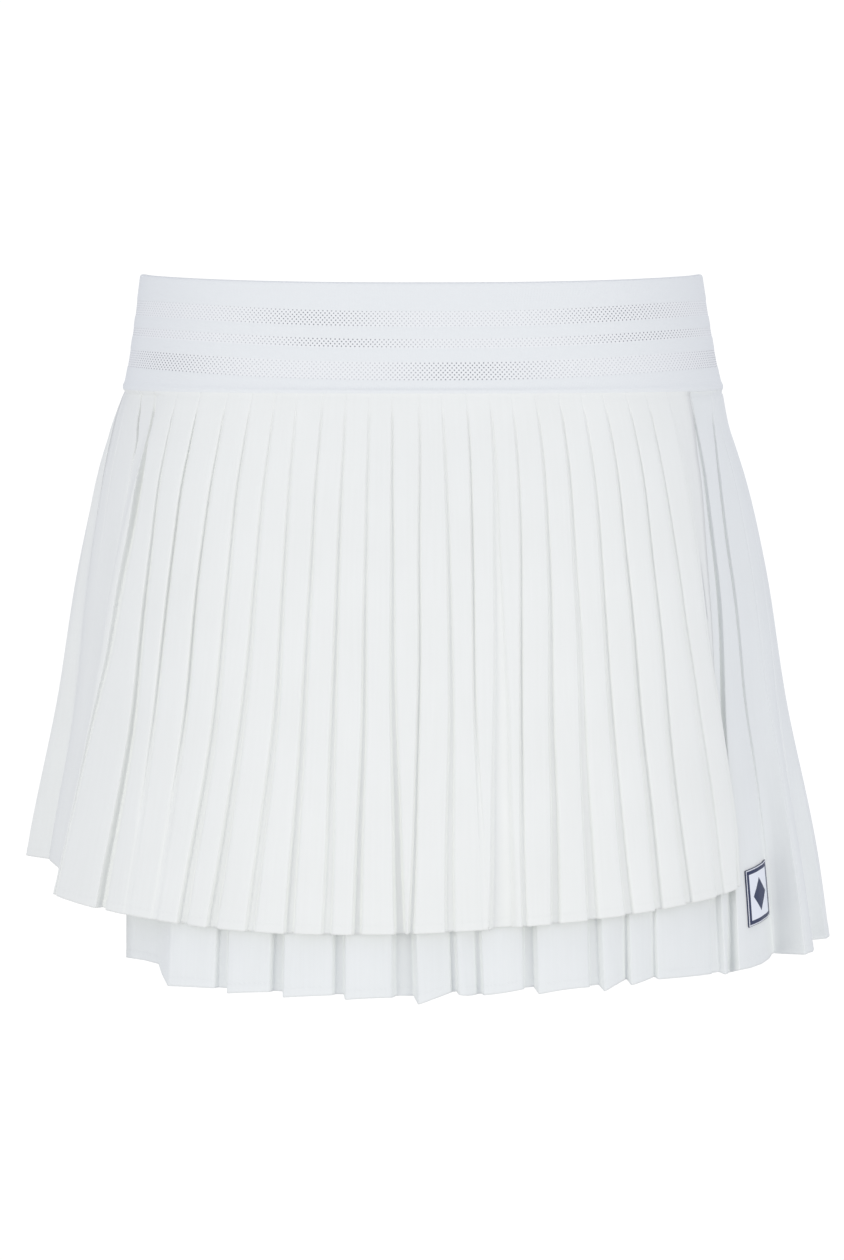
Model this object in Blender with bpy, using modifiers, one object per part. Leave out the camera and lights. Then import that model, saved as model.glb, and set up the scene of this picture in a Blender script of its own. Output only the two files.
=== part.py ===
"""Pleated wrap tennis skirt in its worn, hollow shape.

A wide knitted waistband carries one long pleated wrap that runs a turn and a third round the body. It starts
with a free edge under the front, passes the right side, the back and the left side, and ends with a free edge
over the front. Its hem climbs all the way, so the two layers show as steps in front.

The origin is the centre of the waist opening, level with the band's top edge at the sides. +X is the viewer's
right, -Y is the front and +Z is up. Lengths are in metres. A "turn" is an angle measured along the cloth, in
degrees: 0 at the centre front, 90 at the +X side, 180 at the back, 270 at the -X side and 360 at the front
again. A "drop" is a distance below the origin.
"""
import math

import bmesh
import bpy
import numpy as np

# ---------------------------------------------------------------------------------------------------------
# Driving dimensions
# ---------------------------------------------------------------------------------------------------------
COLLECTION_NAME = "tennis_skirt"

BAND_DROP = 0.060            # depth of the waistband, from its top edge at the sides to the skirt seam
BAND_THICKNESS = 0.0026      # doubled knitted elastic
BAND_FRONT_DIP = 0.0046      # the top edge sinks this much at the centre front
BAND_BACK_DIP = 0.0062       # and this much at the centre back
BAND_COLUMNS = 80            # points round the band
BAND_ROW_DROPS = (0.0, 0.0012, 0.015, 0.030, 0.045, 0.057, BAND_DROP)
BAND_LIP = 0.0008            # the rolled top edge leans in this much
BAND_DIP_POWER = 2           # the dips deepen with this power of the distance from the sides

CLOTH_THICKNESS = 0.0010     # folded woven cloth with its pressed air
SEAM_GAP = 0.0003            # clearance between neighbouring pieces
SEAM_ALLOWANCE = 0.003       # the cloth hangs straight for this far below the seam
ROW_SHARES = (0.0, 0.011, 0.03, 0.07, 0.15, 0.30, 0.50, 0.75, 1.0)    # rows from seam (0) to hem (1)

SEAM_TURN = 0.07             # half the gap at a side seam, as a turn
SIDE_SEAM_RIGHT = 90.0       # turns of the two side seams and of the overlay's last fold
SIDE_SEAM_LEFT = 270.0
OVERLAY_LAST_FOLD = 414.6
OVERLAY_PLEATS = 27
BACK_PLEATS = 33

TAB_TOP_DROP = 0.302         # the small woven patch near the hem
TAB_HEIGHT = 0.028
TAB_FACE_SHARES = (0.70, 0.75)    # the part of the face's near and far half that it covers
TAB_FOLD = 12                # it sits on the face that starts at this fold of the under front
TAB_THICKNESS = 0.0010
TAB_ROW_SHARES = (0.0, 0.5, 1.0)

# Finishes: linear colour and roughness.
KNIT_COLOUR, KNIT_ROUGHNESS = (0.82, 0.85, 0.90), 0.75
CLOTH_COLOUR, CLOTH_ROUGHNESS = (0.84, 0.86, 0.86), 0.70
PATCH_COLOUR, PATCH_ROUGHNESS = (0.012, 0.022, 0.09), 0.60
WALL_CENTRED, WALL_INSIDE = 0.0, -1.0    # Solidify's offsets: about the surface, or all inside it
CREASE_ANGLE = math.radians(35.0)    # folds sharper than this are shaded as creases

# The body's plan at several drops, as the half width and half depth of a rounded oval. A squareness of 2 is
# an ellipse, and a higher one is flatter in front with tighter sides.
BODY = (
    dict(drop=0.000, half_width=0.1505, half_depth=0.0860, squareness=2.5),
    dict(drop=0.030, half_width=0.1549, half_depth=0.0895, squareness=2.5),
    dict(drop=0.060, half_width=0.1603, half_depth=0.0935, squareness=2.5),
    dict(drop=0.077, half_width=0.1660, half_depth=0.0980, squareness=2.45),
    dict(drop=0.106, half_width=0.1748, half_depth=0.1062, squareness=2.4),
    dict(drop=0.130, half_width=0.1805, half_depth=0.1120, squareness=2.35),
    dict(drop=0.165, half_width=0.1875, half_depth=0.1190, squareness=2.3),
    dict(drop=0.230, half_width=0.1975, half_depth=0.1300, squareness=2.15),
    dict(drop=0.312, half_width=0.2150, half_depth=0.1435, squareness=2.0),
    dict(drop=0.360, half_width=0.2225, half_depth=0.1510, squareness=2.0),
)

# The hem's drop along the wrap, which climbs by about 35 mm in a turn.
HEM = (
    dict(turn=-70.0, drop=0.3560),
    dict(turn=-10.0, drop=0.3570),
    dict(turn=45.0, drop=0.3515),
    dict(turn=90.0, drop=0.3500),
    dict(turn=135.0, drop=0.3430),
    dict(turn=180.0, drop=0.3345),
    dict(turn=225.0, drop=0.3255),
    dict(turn=270.0, drop=0.3190),
    dict(turn=300.0, drop=0.3215),
    dict(turn=335.0, drop=0.3250),
    dict(turn=360.0, drop=0.3232),
    dict(turn=385.0, drop=0.3195),
    dict(turn=405.0, drop=0.3155),
    dict(turn=425.0, drop=0.3110),
)

# Where a fold that leaves the seam at one turn reaches the hem.
SPREAD = (
    dict(seam=90.0, hem=90.0),
    dict(seam=135.0, hem=136.0),
    dict(seam=180.0, hem=180.0),
    dict(seam=225.0, hem=224.0),
    dict(seam=270.0, hem=270.0),
    dict(seam=294.0, hem=296.0),
    dict(seam=308.0, hem=311.5),
    dict(seam=320.0, hem=321.5),
    dict(seam=340.0, hem=342.0),
    dict(seam=360.0, hem=360.3),
    dict(seam=380.0, hem=375.5),
    dict(seam=400.0, hem=393.7),
    dict(seam=OVERLAY_LAST_FOLD, hem=408.5),
)

# How far the layer below the overlay stands inside it, at several drops.
LAYER_GAP = (
    dict(drop=0.060, gap=0.0020),
    dict(drop=0.064, gap=0.0026),
    dict(drop=0.076, gap=0.0058),
    dict(drop=0.100, gap=0.0070),
    dict(drop=0.200, gap=0.0088),
    dict(drop=0.322, gap=0.0110),
    dict(drop=0.356, gap=0.0096),
)

# The share of that gap along the wrap: all of it below the overlay, none from the left side on.
WRAP_LAG = (
    dict(turn=-70.0, share=1.0),
    dict(turn=67.5, share=1.0),
    dict(turn=80.0, share=0.30),
    dict(turn=90.0, share=0.20),
    dict(turn=270.0, share=0.0),
    dict(turn=430.0, share=0.0),
)

# The soft waves that the cloth hangs in, as the hem's push outwards round the body.
DRAPE = (
    dict(turn=0.0, push=0.0000),
    dict(turn=60.0, push=0.0000),
    dict(turn=84.0, push=0.0000),
    dict(turn=97.0, push=-0.0050),
    dict(turn=125.0, push=0.0040),
    dict(turn=150.0, push=-0.0040),
    dict(turn=178.0, push=0.0040),
    dict(turn=206.0, push=-0.0040),
    dict(turn=230.0, push=0.0040),
    dict(turn=250.0, push=0.0115),
    dict(turn=258.0, push=0.0120),
    dict(turn=267.0, push=-0.0100),
    dict(turn=276.0, push=-0.0140),
    dict(turn=284.0, push=-0.0100),
    dict(turn=292.0, push=-0.0010),
    dict(turn=300.0, push=0.0000),
    dict(turn=360.0, push=0.0000),
)
DRAPE_GROWTH = 1.4           # the waves grow towards the hem with this power

# The pleats' section from the seam (share 0) to the hem (share 1). The return runs from a fold's outer edge
# in to the recess. "depth" is how far in that is, "tuck" is how far it slants back under the face, and
# "mouth" is how wide the recess stands open.
NARROW_PLEAT = (
    dict(share=0.00, depth=0.0004, tuck=-0.0020, mouth=0.0036),
    dict(share=0.02, depth=0.0010, tuck=-0.0010, mouth=0.0030),
    dict(share=0.06, depth=0.0024, tuck=0.0008, mouth=0.0020),
    dict(share=0.15, depth=0.0032, tuck=0.0011, mouth=0.0020),
    dict(share=0.50, depth=0.0046, tuck=0.0010, mouth=0.0032),
    dict(share=1.00, depth=0.0070, tuck=0.0005, mouth=0.0048),
)
WIDE_PLEAT = (
    dict(share=0.00, depth=0.0004, tuck=-0.0020, mouth=0.0036),
    dict(share=0.02, depth=0.0010, tuck=-0.0010, mouth=0.0030),
    dict(share=0.06, depth=0.0028, tuck=0.0008, mouth=0.0026),
    dict(share=0.15, depth=0.0046, tuck=0.0012, mouth=0.0034),
    dict(share=0.50, depth=0.0078, tuck=0.0012, mouth=0.0046),
    dict(share=1.00, depth=0.0130, tuck=0.0010, mouth=0.0062),
)
LINES_PER_PLEAT = 4          # start, middle, end and recess
FACE_START_LEVEL = 0.32      # depth share where a face leaves the recess
FACE_MIDDLE_LEVEL = 0.08     # depth share of a face's middle
SIZE_REACH = 0.15            # a fold has its own size from this share of the way down

# The folds of the under front, with the size of each one's return as a share of the wide pleat's.
UNDER_FOLDS = (
    dict(seam=-48.5, hem=-41.7, size=1.0),
    dict(seam=-37.7, hem=-31.2, size=0.8),
    dict(seam=-26.9, hem=-22.0, size=1.0),
    dict(seam=-16.2, hem=-11.6, size=1.1),
    dict(seam=-5.4, hem=-0.6, size=0.9),
    dict(seam=1.0, hem=5.4, size=0.5),
    dict(seam=6.5, hem=9.3, size=0.7),
    dict(seam=20.0, hem=18.0, size=1.0),
    dict(seam=32.0, hem=28.2, size=0.9),
    dict(seam=38.5, hem=33.1, size=0.6),
    dict(seam=45.0, hem=37.6, size=0.8),
    dict(seam=59.5, hem=48.6, size=0.6),
    dict(seam=66.0, hem=52.4, size=0.7),
    dict(seam=77.0, hem=69.5, size=1.1),
    dict(seam=84.5, hem=83.0, size=0.9),
)

# The flaps outside the last folds at the wrap's free edges. Each row is one upright line of the flap, with
# how far it is tucked in at the hem.
UNDER_FLAP = (
    dict(seam=-67.0, hem=-56.0, tuck_in=0.024),
    dict(seam=-60.0, hem=-51.0, tuck_in=0.028),
    dict(seam=-53.0, hem=-45.6, tuck_in=0.018),
)
OVERLAY_FLAP = (
    dict(seam=417.2, hem=410.2, tuck_in=0.0085),
    dict(seam=421.0, hem=412.2, tuck_in=0.0090),
    dict(seam=426.0, hem=415.4, tuck_in=0.0085),
)
FLAP_GROWTH = 1.3            # the flaps tuck in towards the hem with this power


# ---------------------------------------------------------------------------------------------------------
# Curves through the tables
# ---------------------------------------------------------------------------------------------------------
def read_curve(table, key, value, at):
    """Read the smooth curve through two columns of a table, which never swings past its points."""
    places = np.array([row[key] for row in table])
    values = np.array([row[value] for row in table])
    steps = np.diff(values) / np.diff(places)
    before, after = steps[:-1], steps[1:]
    same_way = before * after > 0.0
    middle = np.where(same_way, 2.0 * before * after / np.where(same_way, before + after, 1.0), 0.0)
    slopes = np.concatenate(([steps[0]], middle, [steps[-1]]))
    index = int(np.clip(np.searchsorted(places, at) - 1, 0, len(places) - 2))
    span = places[index + 1] - places[index]
    t = float(np.clip((at - places[index]) / span, 0.0, 1.0))
    start_weight = (1.0 + 2.0 * t) * (1.0 - t) ** 2
    end_weight = t * t * (3.0 - 2.0 * t)
    bend = span * t * (1.0 - t) * ((1.0 - t) * slopes[index] - t * slopes[index + 1])
    return start_weight * values[index] + end_weight * values[index + 1] + bend


def body_plan(drop):
    """Half width, half depth and squareness of the body's oval at a drop."""
    held = drop
    if BAND_DROP - SEAM_ALLOWANCE < drop < BAND_DROP + SEAM_ALLOWANCE:
        held = BAND_DROP    # the band's foot and the seam allowance hang straight
    return tuple(read_curve(BODY, "drop", name, held) for name in ("half_width", "half_depth", "squareness"))


QUARTER_STEPS = np.radians(np.arange(0.0, 90.25, 0.5))    # where a quarter of the oval is measured along


def body_point(turn, drop):
    """Point of the body's oval, its outward normal in plan, and the length of one degree of turn."""
    half_width, half_depth, squareness = body_plan(drop)
    power = 2.0 / squareness
    across = half_width * np.sin(QUARTER_STEPS) ** power
    along = half_depth * np.cos(QUARTER_STEPS) ** power
    lengths = np.concatenate(([0.0], np.cumsum(np.hypot(np.diff(across), np.diff(along)))))
    quarter = int(turn // 90.0)
    share = turn / 90.0 - quarter
    if quarter % 2 == 1:
        share = 1.0 - share
    side = 1.0 if quarter % 4 in (0, 1) else -1.0
    face = -1.0 if quarter % 4 in (0, 3) else 1.0
    x = np.interp(share * lengths[-1], lengths, across)
    y = np.interp(share * lengths[-1], lengths, along)
    normal_x = (x / half_width) ** (squareness - 1.0) / half_width
    normal_y = (y / half_depth) ** (squareness - 1.0) / half_depth
    size = math.hypot(normal_x, normal_y)
    return (side * x, face * y), (side * normal_x / size, face * normal_y / size), lengths[-1] / 90.0


# ---------------------------------------------------------------------------------------------------------
# The pleated wall
# ---------------------------------------------------------------------------------------------------------
def line(seam, hem, level=0.0, shift=None, sign=0.0, size=1.0, tuck_in=0.0):
    """One upright line of the cloth.

    seam and hem are its turns, level is its place between the folds' edges (0) and the recess (1), shift
    names the pleat column that moves it sideways and sign says which way.
    """
    return dict(seam=seam, hem=hem, level=level, shift=shift, sign=sign, size=size, tuck_in=tuck_in)


def wall_point(cloth_line, share, pleat):
    """Point of a cloth line at a share of the way from the seam to the hem."""
    hem_drop = read_curve(HEM, "turn", "drop", cloth_line["hem"])
    seam_drop = BAND_DROP + SEAM_GAP
    drop = seam_drop + share * (hem_drop - seam_drop)
    turn = cloth_line["seam"] + share * (cloth_line["hem"] - cloth_line["seam"])
    size = 1.0 + (cloth_line["size"] - 1.0) * min(1.0, share / SIZE_REACH)
    _, _, degree = body_point(turn, drop)
    if cloth_line["shift"]:
        width = size if cloth_line["shift"] == "mouth" else 1.0
        slip = width * read_curve(pleat, "share", cloth_line["shift"], share)
        turn += cloth_line["sign"] * slip / degree
    (x, y), (normal_x, normal_y), _ = body_point(turn, drop)
    inset = cloth_line["level"] * size * read_curve(pleat, "share", "depth", share)
    inset += cloth_line["tuck_in"] * share ** FLAP_GROWTH
    inset += read_curve(WRAP_LAG, "turn", "share", turn) * read_curve(LAYER_GAP, "drop", "gap", drop)
    inset -= read_curve(DRAPE, "turn", "push", turn % 360.0) * share ** DRAPE_GROWTH
    return (x - inset * normal_x, y - inset * normal_y, -drop)


def wall_rows(lines, pleat):
    """A panel's points: a row for each share of the way down, a column for each line."""
    return [[wall_point(cloth_line, share, pleat) for cloth_line in lines] for share in ROW_SHARES]


def overlay_lines(folds, first_turn):
    """Lines of a panel whose faces rise to a fold at their far end.

    The folds and the first turn are pairs of turns: at the seam and at the hem.
    """
    lines = [line(*first_turn)]
    starts = [first_turn] + folds[:-1]
    for number, (start, fold) in enumerate(zip(starts, folds)):
        middle = [(a + b) / 2.0 for a, b in zip(start, fold)]
        if number > 0:
            lines.append(line(*start, level=1.0, shift="tuck", sign=-1.0))
            lines.append(line(*start, level=FACE_START_LEVEL, shift="mouth", sign=1.0))
        lines.append(line(*middle, level=FACE_MIDDLE_LEVEL))
        lines.append(line(*fold))
    return lines


def under_lines(folds, last_turn):
    """Lines of a panel whose faces start at a fold and sink to a recess at their far end."""
    lines = []
    for fold, following in zip(folds, folds[1:]):
        start, end = (fold["seam"], fold["hem"]), (following["seam"], following["hem"])
        middle = [(a + b) / 2.0 for a, b in zip(start, end)]
        size = following["size"]
        lines.append(line(*start))
        lines.append(line(*middle, level=FACE_MIDDLE_LEVEL, size=size))
        lines.append(line(*end, level=FACE_START_LEVEL, shift="mouth", sign=-1.0, size=size))
        lines.append(line(*end, level=1.0, shift="tuck", sign=1.0, size=size))
    final = (folds[-1]["seam"], folds[-1]["hem"])
    lines.append(line(*final))
    lines.append(line(*[(a + b) / 2.0 for a, b in zip(final, last_turn)]))
    lines.append(line(*last_turn))
    return lines


def flap_lines(table):
    """Lines of the flap at one of the wrap's free edges."""
    return [line(row["seam"], row["hem"], tuck_in=row["tuck_in"]) for row in table]


def even_folds(start, end, count):
    """Folds at even turns along the seam, after start and up to end, with their turns at the hem."""
    seams = [start + (end - start) * (number + 1) / count for number in range(count)]
    return [(seam, read_curve(SPREAD, "seam", "hem", seam)) for seam in seams]


# ---------------------------------------------------------------------------------------------------------
# Blender objects
# ---------------------------------------------------------------------------------------------------------
def cloth_material(name, colour, roughness):
    """Plain woven or knitted cloth."""
    material = bpy.data.materials.new(name)
    material.use_nodes = True
    shader = material.node_tree.nodes["Principled BSDF"]
    shader.inputs["Base Color"].default_value = (*colour, 1.0)
    shader.inputs["Roughness"].default_value = roughness
    shader.inputs["Metallic"].default_value = 0.0
    return material


def loft(name, rows, collection, material, thickness, offset, closed=False):
    """Cloth surface through rows of points, given its thickness by Solidify."""
    shell = bmesh.new()
    grid = [[shell.verts.new(point) for point in row] for row in rows]
    count = len(rows[0])
    spans = count if closed else count - 1
    for upper, lower in zip(grid, grid[1:]):
        for column in range(spans):
            following = (column + 1) % count
            shell.faces.new((upper[column], lower[column], lower[following], upper[following]))
    mesh = bpy.data.meshes.new(name)
    shell.to_mesh(mesh)
    shell.free()
    mesh.materials.append(material)
    mesh.shade_smooth()
    mesh.set_sharp_from_angle(angle=CREASE_ANGLE)
    piece = bpy.data.objects.new(name, mesh)
    collection.objects.link(piece)
    solidify = piece.modifiers.new("cloth thickness", "SOLIDIFY")
    solidify.thickness = thickness
    solidify.offset = offset
    solidify.use_even_offset = True
    return piece


def waistband(collection, material):
    """The band: a tube on the body's oval, whose top edge dips in front and behind."""
    turns = [360.0 * number / BAND_COLUMNS for number in range(BAND_COLUMNS)]
    rows = []
    for row_drop in BAND_ROW_DROPS:
        row = []
        for turn in turns:
            (x, y), (normal_x, normal_y), _ = body_point(turn, row_drop)
            dip_size = BAND_FRONT_DIP if y < 0.0 else BAND_BACK_DIP
            frontness = abs(y) / body_plan(row_drop)[1]
            dip = dip_size * frontness ** BAND_DIP_POWER * (1.0 - row_drop / BAND_DROP)
            lean = BAND_LIP if row_drop == 0.0 else 0.0
            out = CLOTH_THICKNESS / 2.0 - lean
            row.append((x + out * normal_x, y + out * normal_y, -row_drop - dip))
        rows.append(row)
    return loft("waistband", rows, collection, material, BAND_THICKNESS, WALL_INSIDE, closed=True)


def hem_tab(under_rows, collection, material):
    """The patch, made from the points of the pleat's face that it lies on, moved out."""
    first = len(UNDER_FLAP) + LINES_PER_PLEAT * TAB_FOLD
    face_lines = slice(first, first + LINES_PER_PLEAT - 1)
    upper, lower = (np.array(row[face_lines]) for row in under_rows[-2:])
    outward = np.cross(lower[1] - upper[1], upper[2] - upper[0])
    outward /= np.linalg.norm(outward)
    lift = CLOTH_THICKNESS / 2.0 + SEAM_GAP + TAB_THICKNESS / 2.0
    rows = []
    left, right = TAB_FACE_SHARES
    for row_share in TAB_ROW_SHARES:
        height = -TAB_TOP_DROP - row_share * TAB_HEIGHT
        down = (height - upper[:, 2]) / (lower[:, 2] - upper[:, 2])
        across = upper + (lower - upper) * down[:, None]
        near = across[1] + (across[0] - across[1]) * left
        far = across[1] + (across[2] - across[1]) * right
        rows.append([tuple(point + lift * outward) for point in (near, across[1], far)])
    return loft("hem_tab", rows, collection, material, TAB_THICKNESS, WALL_CENTRED)


def build():
    """Make the skirt's five pieces."""
    for existing in list(bpy.data.objects):
        bpy.data.objects.remove(existing, do_unlink=True)
    collection = bpy.data.collections.new(COLLECTION_NAME)
    bpy.context.scene.collection.children.link(collection)

    knit = cloth_material("white elastic knit", KNIT_COLOUR, KNIT_ROUGHNESS)
    pleated = cloth_material("white pleated cloth", CLOTH_COLOUR, CLOTH_ROUGHNESS)
    woven_patch = cloth_material("navy woven patch", PATCH_COLOUR, PATCH_ROUGHNESS)

    waistband(collection, knit)
    under = flap_lines(UNDER_FLAP) + under_lines(UNDER_FOLDS, (SIDE_SEAM_RIGHT - SEAM_TURN,) * 2)
    under_rows = wall_rows(under, WIDE_PLEAT)
    loft("under_front", under_rows, collection, pleated, CLOTH_THICKNESS, WALL_CENTRED)
    back_folds = even_folds(SIDE_SEAM_RIGHT, SIDE_SEAM_LEFT - SEAM_TURN, BACK_PLEATS)
    back = overlay_lines(back_folds, (SIDE_SEAM_RIGHT + SEAM_TURN,) * 2)
    loft("back", wall_rows(back, NARROW_PLEAT), collection, pleated, CLOTH_THICKNESS, WALL_CENTRED)
    overlay_folds = even_folds(SIDE_SEAM_LEFT, OVERLAY_LAST_FOLD, OVERLAY_PLEATS)
    overlay = overlay_lines(overlay_folds, (SIDE_SEAM_LEFT + SEAM_TURN,) * 2) + flap_lines(OVERLAY_FLAP)
    loft("over_front", wall_rows(overlay, NARROW_PLEAT), collection, pleated, CLOTH_THICKNESS, WALL_CENTRED)
    hem_tab(under_rows, collection, woven_patch)


build()
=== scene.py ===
# %% [markdown]
# # A pleated wrap tennis skirt
# A tennis skirt is a wide band of elastic knit with one long strip of pleated cloth sewn below it. Here the
# strip goes round the body more than once, so its two ends overlap in front and show as two steps.
# The skirt is built in cells: measures first, then the pleated walls, the band, the small trims and the
# finishes, and at the end the light and the camera.

# %% Load the frame that every piece shares
import math

import bpy
import numpy as np
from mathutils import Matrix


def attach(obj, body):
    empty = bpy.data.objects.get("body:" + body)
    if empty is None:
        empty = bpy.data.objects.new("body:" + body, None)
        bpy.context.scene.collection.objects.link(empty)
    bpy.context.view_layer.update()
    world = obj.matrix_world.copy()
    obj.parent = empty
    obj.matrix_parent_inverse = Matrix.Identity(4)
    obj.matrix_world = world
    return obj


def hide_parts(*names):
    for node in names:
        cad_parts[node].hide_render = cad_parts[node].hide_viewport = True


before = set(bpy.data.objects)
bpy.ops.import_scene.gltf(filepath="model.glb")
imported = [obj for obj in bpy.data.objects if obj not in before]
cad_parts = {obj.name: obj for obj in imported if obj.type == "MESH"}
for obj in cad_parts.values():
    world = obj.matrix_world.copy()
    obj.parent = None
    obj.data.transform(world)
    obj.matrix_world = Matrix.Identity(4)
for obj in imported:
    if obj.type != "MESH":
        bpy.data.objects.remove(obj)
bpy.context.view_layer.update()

# %% [markdown]
# ## The body inside the cloth
# Pleated cloth is hard to place point by point, but easy to describe along itself. A "turn" is an angle along
# the cloth: 0 at the centre front, 90 at the right side seam, 180 at the back, 270 at the left side seam, and
# on to 422 where the overlay ends over the front. A "drop" is a distance below the top of the band. The body
# inside is an oval that grows downwards. It is the one that the solid model uses, drawn 2.5 mm narrower on
# each side at the waist, where the elastic grips.

# %% Short tables with named columns, and smooth curves through them
def table(columns, *rows):
    """A short table: the names of its columns, then its rows."""
    return [dict(zip(columns.split(), row)) for row in rows]


def read_curve(rows, value, at):
    """Read the smooth curve through a table's first column and another one, at one place or many."""
    places = np.array([list(row.values())[0] for row in rows])
    values = np.array([row[value] for row in rows])
    steps = np.diff(values) / np.diff(places)
    before, after = steps[:-1], steps[1:]
    same_way = before * after > 0.0
    middle = np.where(same_way, 2.0 * before * after / np.where(same_way, before + after, 1.0), 0.0)
    slopes = np.concatenate(([steps[0]], middle, [steps[-1]]))
    at = np.clip(at, places[0], places[-1])
    index = np.clip(np.searchsorted(places, at) - 1, 0, len(places) - 2)
    span = places[index + 1] - places[index]
    t = (at - places[index]) / span
    start_weight = (1.0 + 2.0 * t) * (1.0 - t) ** 2
    end_weight = t * t * (3.0 - 2.0 * t)
    bend = span * t * (1.0 - t) * ((1.0 - t) * slopes[index] - t * slopes[index + 1])
    return start_weight * values[index] + end_weight * values[index + 1] + bend


# %% Measures of the body, in metres
BAND_DROP = 0.060  # from the band's top edge at the sides to the skirt seam
BAND_FRONT_DIP = 0.0046  # the top edge sinks at the centre front
BAND_BACK_DIP = 0.0062  # and at the centre back
SEAM_ALLOWANCE = 0.003  # the cloth hangs straight this far below the seam
SEAM_DROP = 0.0603  # where the pleated cloth starts
MEAN_HEM_DROP = 0.335
WAIST_SHIFT = -0.0014  # the worn band sits this far to the left of the hem's centre,
WAIST_SHIFT_END = 0.09  # which fades out down to this drop

BODY = table(
    "drop half_width half_depth squareness",
    (0.000, 0.1480, 0.0860, 2.5),
    (0.030, 0.1526, 0.0895, 2.5),
    (0.060, 0.1586, 0.0935, 2.5),
    (0.077, 0.1653, 0.0980, 2.45),
    (0.106, 0.1748, 0.1062, 2.4),
    (0.130, 0.1805, 0.1120, 2.35),
    (0.165, 0.1875, 0.1190, 2.3),
    (0.230, 0.1975, 0.1300, 2.15),
    (0.312, 0.2150, 0.1435, 2.0),
    (0.370, 0.2240, 0.1522, 2.0),
)
print("half width at the hem, mm:", round(1000 * float(read_curve(BODY, "half_width", 0.35))))

# %% The oval's quarter at every drop
GRID_STEP = 0.002
GRID_DROPS = np.arange(0.0, 0.372, GRID_STEP)
GRID_SHARES = np.linspace(0.0, 1.0, 181)  # places along a quarter of the oval


def body_plan(drop):
    """Half width, half depth and squareness of the oval at a drop."""
    near_seam = np.abs(drop - BAND_DROP) < SEAM_ALLOWANCE
    held = np.where(near_seam, BAND_DROP, drop)
    return [read_curve(BODY, name, held) for name in ("half_width", "half_depth", "squareness")]


def quarter_ovals():
    """The oval's quarter at each drop of the grid, at even distances along it, and its length."""
    angles = np.radians(np.arange(0.0, 90.25, 0.5))
    across_all, along_all, lengths = [], [], []
    for drop in GRID_DROPS:
        half_width, half_depth, squareness = body_plan(drop)
        across = half_width * np.sin(angles) ** (2.0 / squareness)
        along = half_depth * np.cos(angles) ** (2.0 / squareness)
        walked = np.concatenate(([0.0], np.cumsum(np.hypot(np.diff(across), np.diff(along)))))
        across_all.append(np.interp(GRID_SHARES * walked[-1], walked, across))
        along_all.append(np.interp(GRID_SHARES * walked[-1], walked, along))
        lengths.append(walked[-1])
    return np.array(across_all), np.array(along_all), np.array(lengths)


QUARTER_X, QUARTER_Y, QUARTER_LENGTHS = quarter_ovals()


def degree_length(drop):
    """Length of one degree of turn at a drop."""
    return np.interp(drop, GRID_DROPS, QUARTER_LENGTHS) / 90.0


print("one degree along the hem, mm:", round(1000 * float(degree_length(MEAN_HEM_DROP)), 2))


# %% Points of the oval at any turn and drop
def between_grid(grid, row, column):
    """Value between the four nearest points of a grid."""
    upper = np.clip(row.astype(int), 0, grid.shape[0] - 2)
    left = np.clip(column.astype(int), 0, grid.shape[1] - 2)
    down, right = row - upper, column - left
    top = grid[upper, left] * (1.0 - right) + grid[upper, left + 1] * right
    foot = grid[upper + 1, left] * (1.0 - right) + grid[upper + 1, left + 1] * right
    return top * (1.0 - down) + foot * down


def body_points(turn, drop, inset):
    """Points that stand a given inset inside the oval, as an array of x, y, z."""
    turn, drop, inset = np.broadcast_arrays(*map(np.asarray, (turn, drop, inset)))
    half_width, half_depth, squareness = body_plan(drop)
    quarter = np.floor(turn / 90.0).astype(int)
    share = turn / 90.0 - quarter
    share = np.where(quarter % 2 == 1, 1.0 - share, share)
    side = np.where(np.isin(quarter % 4, (0, 1)), 1.0, -1.0)
    face = np.where(np.isin(quarter % 4, (0, 3)), -1.0, 1.0)
    row, column = drop / GRID_STEP, share * (len(GRID_SHARES) - 1)
    x = between_grid(QUARTER_X, row, column)
    y = between_grid(QUARTER_Y, row, column)
    out_x = (x / half_width) ** (squareness - 1.0) / half_width
    out_y = (y / half_depth) ** (squareness - 1.0) / half_depth
    size = np.hypot(out_x, out_y)
    shift = WAIST_SHIFT * np.clip(1.0 - drop / WAIST_SHIFT_END, 0.0, 1.0)
    x = side * (x - inset * out_x / size) + shift
    y = face * (y - inset * out_y / size)
    return np.stack((x, y, -drop), axis=-1)


print("right side seam at the hem:", body_points(90.0, 0.35, 0.0).round(3))

# %% [markdown]
# ## How the wrap hangs
# The strip is cut in a shallow spiral, so its hem climbs all the way round. Below the overlay the first layer
# stands a few millimetres further in, because the overlay lies on it. The cloth also swings in soft waves,
# because a worn skirt never hangs as an even cone.

# %% The hem and the two layers
HEM = table(
    "turn drop",
    (-70.0, 0.3480), (-45.0, 0.3490), (-42.0, 0.3565), (-10.0, 0.3572), (0.0, 0.3572), (18.0, 0.3545),
    (38.0, 0.3535), (55.0, 0.3535), (66.0, 0.3525), (90.0, 0.3500), (135.0, 0.3430), (180.0, 0.3345),
    (225.0, 0.3255), (260.0, 0.3203), (268.0, 0.3140), (284.0, 0.3135), (292.0, 0.3205), (310.0, 0.3235),
    (335.0, 0.3262), (356.0, 0.3250), (371.0, 0.3228), (390.0, 0.3195), (409.0, 0.3145), (415.0, 0.3110),
)
LAYER_GAP = table(  # how far in the first layer stands
    "drop gap",
    (0.060, 0.0009), (0.064, 0.0014), (0.076, 0.0034), (0.100, 0.0046), (0.200, 0.0056), (0.322, 0.0054),
    (0.356, 0.0052),
)
WRAP_LAG = table(  # the share of that gap round the wrap
    "turn share",
    (-70.0, 1.0), (67.5, 1.0), (80.0, 0.30), (90.0, 0.20), (270.0, 0.0), (430.0, 0.0),
)
print("hem's drop in front, behind and of the overlay, m:", read_curve(HEM, "drop", (0, 180, 360)).round(3))

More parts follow.
